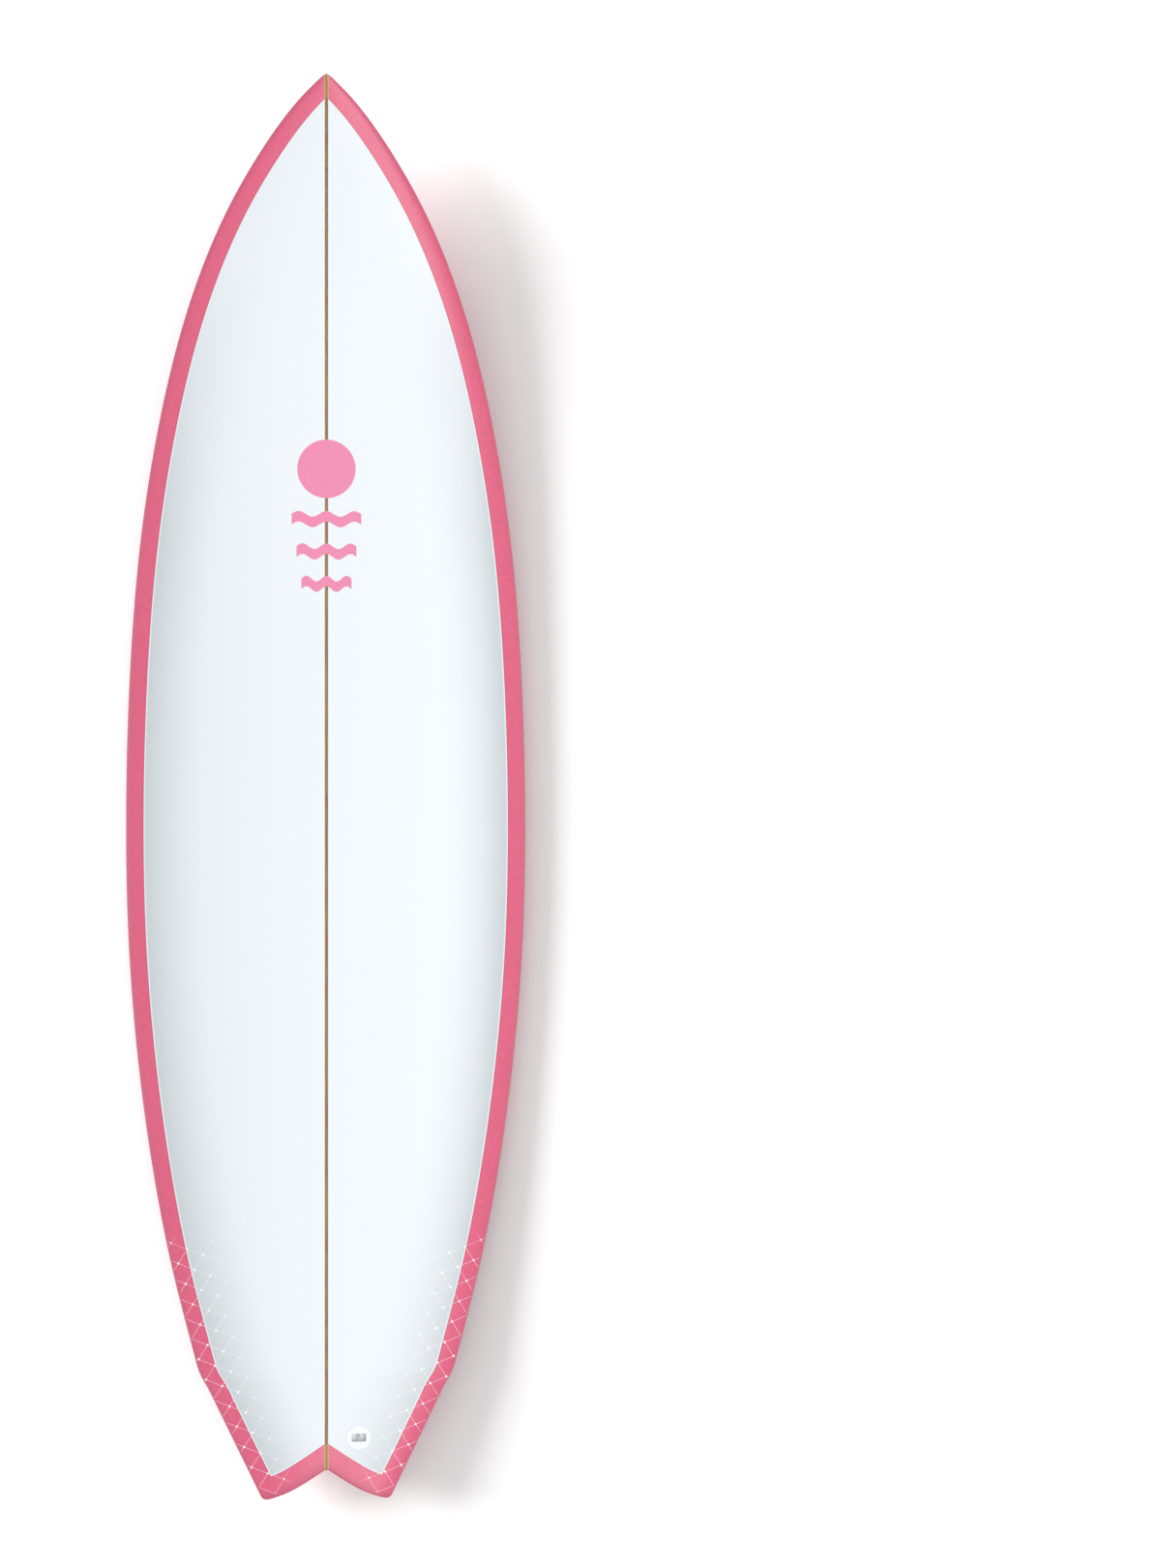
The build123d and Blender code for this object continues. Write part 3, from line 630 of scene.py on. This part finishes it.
# ---- the prints, as films on the surface ----
MARK_PLACE, SUN_RADIUS, SUN_RISE = 542.0, 36.0, 68.0
WAVE_LENGTHS, FIRST_WAVE, WAVE_PITCH = (86.0, 74.0, 62.0), 6.0, 40.0
WAVE_HEIGHT, WAVE_WEIGHT, WAVE_CRESTS = 7.0, 13.0, 2.5
BARS_PLACE, BARS_TILT = (138.0, 1318.0), -24.0
BAR_LENGTHS, BAR_PITCH, BAR_WEIGHT = (104.0, 84.0, 64.0), 17.0, 9.0
RING_WAVES, RING_WAVE_PITCH, RING_WAVE_HEIGHT, RING_WAVE_WEIGHT = (40.0, 50.0, 40.0), 14.0, 2.5, 5.0
PRINT_LIFT, PRINT_FILM = 0.14, 0.20


def wave_grid(width, height, weight, rise):
    """Points of one wave stripe, in rows across it."""
    x = np.linspace(-width / 2, width / 2, 61)
    y = height * np.cos(2 * math.pi * WAVE_CRESTS * x / width) / 2
    share = np.linspace(-0.5, 0.5, 5)[None, :]
    return np.stack([x[:, None] + 0 * share, rise + y[:, None] + weight * share], axis=-1)


def disc_grid(radius, rise):
    """Points of a disc, in rows from chord to chord."""
    turn = np.linspace(0, math.pi, 49)[:, None]
    share = np.linspace(-1, 1, 13)[None, :]
    return np.stack([radius * np.cos(turn) + 0 * share, rise + radius * np.sin(turn) * share], axis=-1)


def bar_grid(length, weight, rise):
    """Points of a bar with round ends."""
    turn = np.linspace(0, math.pi / 2, 10)
    end = length / 2 - weight / 2 + weight / 2 * np.sin(turn)
    half = weight / 2 * np.cos(turn)
    x = np.concatenate([-end[::-1], np.linspace(-end[0], end[0], 20)[1:-1], end])[:, None]
    wide = np.concatenate([half[::-1], np.full(18, weight / 2), half])[:, None]
    share = np.linspace(-1, 1, 3)[None, :]
    return np.stack([x + 0 * share, rise + wide * share], axis=-1)


def ring_grid(outer, inner):
    """Points of a ring."""
    turn = np.linspace(0, 2 * math.pi, 97)[:, None]
    radius = np.linspace(inner, outer, 3)[None, :]
    return np.stack([radius * np.cos(turn), radius * np.sin(turn)], axis=-1)


def print_piece(name, grids, place, deck, tilt=0.0):
    """A print made of grids of (x, y) points, with y to the nose, laid on the surface at a place."""
    bm = bmesh.new()
    turn = math.radians(tilt)
    at = deck_point if deck else bottom_point
    for grid in grids:
        x = place[0] + grid[..., 0] * math.cos(turn) - grid[..., 1] * math.sin(turn)
        station = place[1] - grid[..., 0] * math.sin(turn) - grid[..., 1] * math.cos(turn)
        grid_faces(bm, at(x, station, PRINT_LIFT))
    bm.normal_update()
    inward = [face for face in bm.faces if (face.normal.z > 0) != deck]
    bmesh.ops.reverse_faces(bm, faces=inward)
    film = finished(bm, name)
    thicken(film, PRINT_FILM)
    return film


sun_and_waves = [disc_grid(SUN_RADIUS, SUN_RISE)]
for i, width in enumerate(WAVE_LENGTHS):
    sun_and_waves.append(wave_grid(width, WAVE_HEIGHT, WAVE_WEIGHT, FIRST_WAVE - WAVE_PITCH * i))
bars = [bar_grid(length, BAR_WEIGHT, BAR_PITCH * (1 - i)) for i, length in enumerate(BAR_LENGTHS)]
badge = [ring_grid(*RING)]
for i, width in enumerate(RING_WAVES):
    badge.append(wave_grid(width, RING_WAVE_HEIGHT, RING_WAVE_WEIGHT, RING_WAVE_PITCH * (1 - i)))
deck_sun = print_piece("print_deck_sun", sun_and_waves, (0.0, MARK_PLACE), True)
bottom_sun = print_piece("print_bottom_sun", sun_and_waves, (0.0, MARK_PLACE), False)
bar_print = print_piece("print_bars", bars, BARS_PLACE, False, BARS_TILT)
badge_print = print_piece("print_badge", badge, RING_PLACE, False)


# ---- materials ----
# colours as red, green and blue out of 255
# the deck's grey is painted shade, for where the deck turns down to the rails
DECK_WHITE, DECK_PAINTED_SHADE, DECK_SPECKLE = (227, 233, 238), (196, 203, 207), (176, 184, 192)
PINLINE, GLUE_DECK = (208, 236, 238), (222, 240, 240)
PINK_BOTTOM, PINK_NET, PINK_DOWN = (231, 122, 140), (210, 104, 122), (196, 84, 108)
# the darkest pink here is painted shade, for the rail's outer edge turning from the light
PINK_LAP, PINK_LAP_EDGE, PINK_RIM_SHADE = (226, 94, 130), (228, 82, 118), (176, 74, 100)
WOOD_DARK, WOOD_LIGHT = (112, 68, 22), (156, 104, 44)
GLUE_BOTTOM, OLIVE, OLIVE_DARK = (228, 196, 130), (196, 160, 92), (150, 114, 56)
NET_WHITE = (254, 252, 254)
FLANGE_GREY, FLANGE_PALE = (196, 199, 199), (214, 216, 216)
# the slot's grey is painted shade, for the recess inside the fin box
FRAME_WHITE, SLOT_SHADE_GREY = (242, 243, 243), (198, 200, 202)
VENT_DARK, BOX_RING, PLUG_RING = (84, 86, 88), (168, 204, 204), (186, 208, 236)
PRINT_PINK, PRINT_WHITE, PRINT_BLACK = (243, 134, 175), (246, 244, 246), (30, 28, 30)
FOAM_WHITE, GLUE_YELLOW, PLUG_WHITE = (238, 240, 240), (222, 214, 190), (240, 243, 246)
PIN_GREY, SCREW_GREY = (190, 186, 180), (92, 92, 96)
PINK_MOTTLE, RIM_SHADE_DEPTH = 0.55, 0.55  # how far the pink goes towards its darker mottle, and towards the painted shade at the rail's outer edge
# where the glue and the wood fade out, in metres from the board's middle plane
DECK_GLUE_EDGE, DECK_WOOD_EDGE = (0.0034, 0.0031), (0.0022, 0.0021)
BOTTOM_GLUE_EDGE, BOTTOM_WOOD_EDGE = (0.0027, 0.0025), (0.0017, 0.0015)


def paint(red, green, blue):
    """A colour from its values out of 255, as linear light."""
    shares = [value / 255 for value in (red, green, blue)]
    return tuple(s / 12.92 if s <= 0.04045 else ((s + 0.055) / 1.055) ** 2.4 for s in shares) + (1.0,)


class Finish:
    """A node material and short ways to add to it."""

    def __init__(self, name, roughness=0.5, coat=0.0, coat_roughness=0.1, specular=0.5, metallic=0.0):
        self.material = bpy.data.materials.new(name)
        self.material.use_nodes = True
        self.nodes = self.material.node_tree.nodes
        self.links = self.material.node_tree.links
        self.nodes.clear()
        self.shader = self.nodes.new("ShaderNodeBsdfPrincipled")
        self.shader.inputs["Roughness"].default_value = roughness
        self.shader.inputs["Coat Weight"].default_value = coat
        self.shader.inputs["Coat Roughness"].default_value = coat_roughness
        self.shader.inputs["Specular IOR Level"].default_value = specular
        self.shader.inputs["Metallic"].default_value = metallic
        out = self.nodes.new("ShaderNodeOutputMaterial")
        self.links.new(self.shader.outputs["BSDF"], out.inputs["Surface"])
        self.place = self.nodes.new("ShaderNodeTexCoord").outputs["Object"]

    def put(self, socket, value):
        """Link an output to a socket, or set a plain value there."""
        if isinstance(value, bpy.types.NodeSocket):
            self.links.new(value, socket)
        else:
            socket.default_value = value

    def calc(self, operation, *values):
        """A sum of numbers or outputs, by its operation's name."""
        node = self.nodes.new("ShaderNodeMath")
        node.operation = operation
        for socket, value in zip(node.inputs, values):
            self.put(socket, value)
        return node.outputs[0]

    def mix(self, share, first, second):
        """A colour between two, by a share from 0 to 1."""
        node = self.nodes.new("ShaderNodeMix")
        node.data_type = "RGBA"
        self.put(node.inputs["Factor"], share)
        self.put(node.inputs[6], first)
        self.put(node.inputs[7], second)
        return node.outputs[2]

    def fade(self, value, low, high):
        """0 below low and 1 above high, smoothly between them. High may be the smaller one."""
        node = self.nodes.new("ShaderNodeMapRange")
        node.interpolation_type = "SMOOTHSTEP"
        self.put(node.inputs["Value"], value)
        if low < high:
            node.inputs["From Min"].default_value = low
            node.inputs["From Max"].default_value = high
            return node.outputs["Result"]
        node.inputs["From Min"].default_value = high
        node.inputs["From Max"].default_value = low
        return self.calc("SUBTRACT", 1.0, node.outputs["Result"])

    def noise(self, scale, stretch=(1.0, 1.0, 1.0), detail=2.0, distortion=0.0):
        """Noise of a given scale per metre, from 0 to 1."""
        scaled = self.nodes.new("ShaderNodeMapping")
        scaled.inputs["Scale"].default_value = stretch
        self.links.new(self.place, scaled.inputs["Vector"])
        node = self.nodes.new("ShaderNodeTexNoise")
        node.inputs["Scale"].default_value = scale
        node.inputs["Detail"].default_value = detail
        node.inputs["Distortion"].default_value = distortion
        self.links.new(scaled.outputs[0], node.inputs["Vector"])
        return node.outputs[0]

    def kept(self, name):
        """A number kept on the vertices."""
        node = self.nodes.new("ShaderNodeAttribute")
        node.attribute_name = name
        return node.outputs["Fac"]

    def across(self):
        """Distance from the board's middle plane, in metres."""
        split = self.nodes.new("ShaderNodeSeparateXYZ")
        self.links.new(self.place, split.inputs[0])
        return self.calc("ABSOLUTE", split.outputs[0])

    def along_axis(self, place, axis):
        """The object coordinate along one axis of a place's matrix, in metres."""
        shift = self.nodes.new("ShaderNodeVectorMath")
        shift.operation = "SUBTRACT"
        self.links.new(self.place, shift.inputs[0])
        shift.inputs[1].default_value = place.translation
        dot = self.nodes.new("ShaderNodeVectorMath")
        dot.operation = "DOT_PRODUCT"
        self.links.new(shift.outputs[0], dot.inputs[0])
        dot.inputs[1].default_value = place.col[axis].to_3d()
        return dot.outputs["Value"]

    def colour(self, value):
        """Set or link the base colour."""
        self.put(self.shader.inputs["Base Color"], value)

    def bump(self, height, strength, distance):
        """Roughen the surface by a height, in shading only."""
        node = self.nodes.new("ShaderNodeBump")
        node.inputs["Strength"].default_value = strength
        node.inputs["Distance"].default_value = distance
        self.put(node.inputs["Height"], height)
        self.links.new(node.outputs[0], self.shader.inputs["Normal"])


def wood(finish):
    """The colour of the stringer's wood, with its grain along the board."""
    grain = finish.noise(900.0, (1.0, 0.03, 1.0), 3.0)
    return finish.mix(finish.fade(grain, 0.3, 0.7), paint(*WOOD_DARK), paint(*WOOD_LIGHT))


def deck_finish():
    """Clear glass over white foam, with painted shade greying it by the lap, and a thin pale line along it.
    """
    finish = Finish("clear_glass", roughness=0.42, coat=0.25, coat_roughness=0.22)
    lap = finish.kept("lap")
    # painted shade: the deck goes grey towards the rails' lap, where its dome turns from the light
    base = finish.mix(finish.kept("shade"), paint(*DECK_WHITE), paint(*DECK_PAINTED_SHADE))
    speckle = finish.noise(420.0, detail=3.0)
    base = finish.mix(finish.calc("MULTIPLY", speckle, 0.10), base, paint(*DECK_SPECKLE))
    base = finish.mix(finish.fade(lap, 1.9, 1.3), base, paint(*PINLINE))
    across = finish.across()
    base = finish.mix(finish.fade(across, *DECK_GLUE_EDGE), base, paint(*GLUE_DECK))
    base = finish.mix(finish.fade(across, *DECK_WOOD_EDGE), base, wood(finish))
    finish.colour(base)
    return finish.material


def pink_finish():
    """Tinted glass: fibrous pink, deeper at the cut lap and over the net's patches on the bottom, with
    painted shade darkening the rail's outer edge on the deck side.
    """
    finish = Finish("pink_glass", roughness=0.40, coat=0.25, coat_roughness=0.22)
    lap = finish.kept("lap")
    bottom = finish.mix(finish.fade(finish.kept("net"), -12.0, 12.0), paint(*PINK_BOTTOM), paint(*PINK_NET))
    band = finish.mix(finish.fade(lap, -2.2, -1.4), paint(*PINK_LAP), paint(*PINK_LAP_EDGE))
    base = finish.mix(finish.kept("deck_side"), bottom, band)
    fibres = finish.noise(430.0, (1.0, 0.75, 1.0), 3.0, 1.0)
    mottle = finish.calc("MULTIPLY", finish.fade(fibres, 0.68, 0.32), PINK_MOTTLE)
    base = finish.mix(mottle, base, paint(*PINK_DOWN))
    # painted shade: the lap band darkens towards the rail's outer edge on the deck side
    rim = finish.calc("MULTIPLY", finish.fade(lap, -14.0, -25.0), finish.kept("deck_side"))
    base = finish.mix(finish.calc("MULTIPLY", rim, RIM_SHADE_DEPTH), base, paint(*PINK_RIM_SHADE))
    across = finish.across()
    glue = finish.mix(finish.kept("deck_side"), paint(*GLUE_BOTTOM), paint(*OLIVE))
    base = finish.mix(finish.fade(across, *BOTTOM_GLUE_EDGE), base, glue)
    core = finish.mix(finish.kept("deck_side"), wood(finish), paint(*OLIVE_DARK))
    base = finish.mix(finish.fade(across, *BOTTOM_WOOD_EDGE), base, core)
    finish.colour(base)
    finish.bump(fibres, 0.12, 0.0002)
    return finish.material


def net_finish(name, thread, knot, pink):
    """Thin white fibre in the resin, which takes most of its colour from what is under it, the deck's
    painted shade by the rails included.
    """
    finish = Finish(name, roughness=0.42, coat=0.25, coat_roughness=0.22)
    # the deck under the net, with the same painted shade towards the rails
    clear = finish.mix(finish.kept("shade"), paint(*DECK_WHITE), paint(*DECK_PAINTED_SHADE))
    over_clear = finish.fade(finish.kept("lap"), -0.2, 0.2)
    under = finish.mix(over_clear, paint(*pink), clear) if name == "net_deck" else paint(*pink)
    strength = finish.calc("ADD", thread, finish.calc("MULTIPLY", finish.kept("knot"), knot - thread))
    strength = finish.calc("MULTIPLY", strength, finish.kept("fade"))
    finish.colour(finish.mix(strength, under, paint(*NET_WHITE)))
    return finish.material


def flat_finish(name, colour, roughness=0.45, speckle=0.06, scale=500.0, metallic=0.0, coat=0.1):
    """One colour with a trace of unevenness."""
    finish = Finish(name, roughness=roughness, coat=coat, coat_roughness=0.25, metallic=metallic)
    dark = tuple(value * (1 - 2 * speckle) for value in colour)
    finish.colour(finish.mix(finish.noise(scale, detail=2.0), paint(*colour), paint(*dark)))
    return finish.material


def wood_finish():
    """The stringer's own wood, where its edge shows."""
    finish = Finish("stringer_wood", roughness=0.6)
    finish.colour(wood(finish))
    return finish.material


def box_finish(name, place):
    """A fin box: a grey flange with fine cracks of resin, the white frame round the slot, and painted shade
    greying the slot deeper down.
    """
    finish = Finish(name, roughness=0.42, coat=0.15, coat_roughness=0.2)
    along = finish.calc("ABSOLUTE", finish.along_axis(place, 0))
    across = finish.calc("ABSOLUTE", finish.along_axis(place, 1))
    depth = finish.along_axis(place, 2)
    in_length = finish.calc("LESS_THAN", along, FRAME_LENGTH / 2 * MM)
    in_width = finish.calc("LESS_THAN", across, FRAME_WIDTH / 2 * MM)
    in_frame = finish.calc("MULTIPLY", in_length, in_width)
    streaks = finish.noise(260.0, (1.0, 0.35, 1.0), 4.0, 2.0)
    flange = finish.mix(finish.fade(streaks, 0.35, 0.7), paint(*FLANGE_GREY), paint(*FLANGE_PALE))
    top = finish.mix(in_frame, flange, paint(*FRAME_WHITE))
    # painted shade: the plastic greys with depth down inside the slot
    finish.colour(finish.mix(finish.fade(depth, -0.0004, -0.003), top, paint(*SLOT_SHADE_GREY)))
    return finish.material


def resin_finish(name, place, length, width, ring):
    """Resin in the flange's slots, and the thin ring of it round a pocket's mouth."""
    finish = Finish(name, roughness=0.3, coat=0.4, coat_roughness=0.1)
    along = finish.calc("ABSOLUTE", finish.along_axis(place, 0))
    across = finish.along_axis(place, 1)
    past = finish.calc("MAXIMUM", finish.calc("SUBTRACT", along, (length - width) / 2 * MM), 0.0)
    past_squared = finish.calc("MULTIPLY", past, past)
    across_squared = finish.calc("MULTIPLY", across, across)
    squares = finish.calc("ADD", past_squared, across_squared)
    outside = finish.calc("GREATER_THAN", finish.calc("SQRT", squares), (width / 2 - 0.2) * MM)
    finish.colour(finish.mix(outside, paint(*VENT_DARK), paint(*ring)))
    return finish.material


deck_material = deck_finish()
pink_material = pink_finish()
net_bottom_material = net_finish("net_bottom", 0.34, 0.9, PINK_NET)
net_deck_material = net_finish("net_deck", 0.33, 0.95, PINK_LAP)
pink_print = flat_finish("pink_print", PRINT_PINK)
white_print = flat_finish("white_print", PRINT_WHITE, speckle=0.02)
black_print = flat_finish("black_print", PRINT_BLACK)

visual = [
    (deck_skin, deck_material, "clear_glass", ["deck_laminate"]),
    (tinted, pink_material, "pink_glass", ["bottom_laminate"]),
    (deck_sun, pink_print, "pink_print", ["deck_graphic"]),
    (bottom_sun, white_print, "white_print", ["bottom_graphic"]),
    (bar_print, black_print, "black_print", ["bars_graphic"]),
    (badge_print, white_print, "white_print", ["round_graphic"]),
]
for node_name, net in nets.items():
    if "deck" in node_name:
        visual.append((net, net_deck_material, "net_deck", [node_name]))
    else:
        visual.append((net, net_bottom_material, "net_bottom", [node_name]))
for piece, material, slot_name, replaced in visual:
    piece.data.materials.clear()
    piece.data.materials.append(material)
    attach(piece, BOARD)
    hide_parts(*replaced)

cad_materials = {
    "foam_core_left": flat_finish("foam", FOAM_WHITE, roughness=0.8),
    "stringer": wood_finish(),
    "glue_line_left": flat_finish("glue", GLUE_YELLOW),
    "leash_cup": flat_finish("plug_plastic", PLUG_WHITE, speckle=0.02),
    "leash_pin": flat_finish("pin_steel", PIN_GREY, roughness=0.3, metallic=0.9),
    "leash_resin": resin_finish("plug_resin", PLUG_MATRIX, 2 * CUP_RADIUS, 2 * CUP_RADIUS, PLUG_RING),
}
cad_materials["foam_core_right"] = cad_materials["foam_core_left"]
cad_materials["glue_line_right"] = cad_materials["glue_line_left"]
screw_steel = flat_finish("screw_steel", SCREW_GREY, roughness=0.35, metallic=0.8)
for name, place in BOX_PLACES.items():
    cad_materials[f"fin_box_{name}"] = box_finish(f"fin_box_plastic_{name}", place)
    resin = resin_finish(f"box_resin_{name}", place, FLANGE_LENGTH, FLANGE_WIDTH, BOX_RING)
    cad_materials[f"fin_box_resin_{name}"] = resin
    cad_materials[f"fin_screw_{name}"] = screw_steel
for name, material in cad_materials.items():
    nodes[name].data.materials.clear()
    nodes[name].data.materials.append(material)

# ---- floor, light and camera ----
FLOOR_HALF, ROOM_LIGHT = 60.0, 0.76
CAMERA_PLACE, CAMERA_LENS, SENSOR_HEIGHT = (0.0, 0.011, 4.2), 76.4, 36.0  # metres, then millimetres
CAMERA_TURN = 4.367  # degrees

bm = bmesh.new()
bmesh.ops.create_grid(bm, x_segments=2, y_segments=2, size=FLOOR_HALF)
floor = finished(bm, "floor")
floor_finish = Finish("floor_paper", roughness=0.95, specular=0.1)
pale, paler = (0.95, 0.95, 0.955, 1.0), (0.97, 0.97, 0.97, 1.0)
floor_finish.colour(floor_finish.mix(floor_finish.noise(3.0), paler, pale))
floor.data.materials.append(floor_finish.material)

world = bpy.data.worlds.new("pale_room")
world.use_nodes = True
world.node_tree.nodes["Background"].inputs["Color"].default_value = (1.0, 1.0, 1.0, 1.0)
world.node_tree.nodes["Background"].inputs["Strength"].default_value = ROOM_LIGHT
bpy.context.scene.world = world


def soft_light(name, place, spread, strength, lit):
    """A far, wide, soft light that shines from a place to the board's middle, on what is named."""
    lamp = bpy.data.lights.new(name, "SUN")
    lamp.angle = math.radians(spread)
    lamp.energy = strength
    holder = bpy.data.objects.new(name, lamp)
    holder.location = place
    holder.rotation_euler = (-Vector(place)).to_track_quat("-Z", "Y").to_euler()
    bpy.context.scene.collection.objects.link(holder)
    lit_group = bpy.data.collections.new(f"{name}_lights")
    for thing in lit:
        lit_group.objects.link(thing)
    holder.light_linking.receiver_collection = lit_group


# the floor's light throws the shadow, and the board's own comes nearly from above
board_pieces = [piece for piece, *_ in visual] + [nodes[name] for name in cad_materials]
soft_light("floor_key", (-5.2, 1.6, 2.7), 25.0, 3.3, [floor])
soft_light("board_key", (1.2, -0.3, 5.4), 34.0, 1.07, board_pieces)

# the camera stands over the stringer and turns a little aside, as the board is left of the middle
camera = bpy.data.cameras.new("camera")
camera.sensor_fit = "VERTICAL"
camera.sensor_height = SENSOR_HEIGHT
camera.lens = CAMERA_LENS
eye = bpy.data.objects.new("camera", camera)
eye.location = CAMERA_PLACE
eye.rotation_euler = (0.0, -math.radians(CAMERA_TURN), 0.0)
bpy.context.scene.collection.objects.link(eye)
bpy.context.scene.camera = eye
bpy.context.scene.view_settings.view_transform = "Standard"
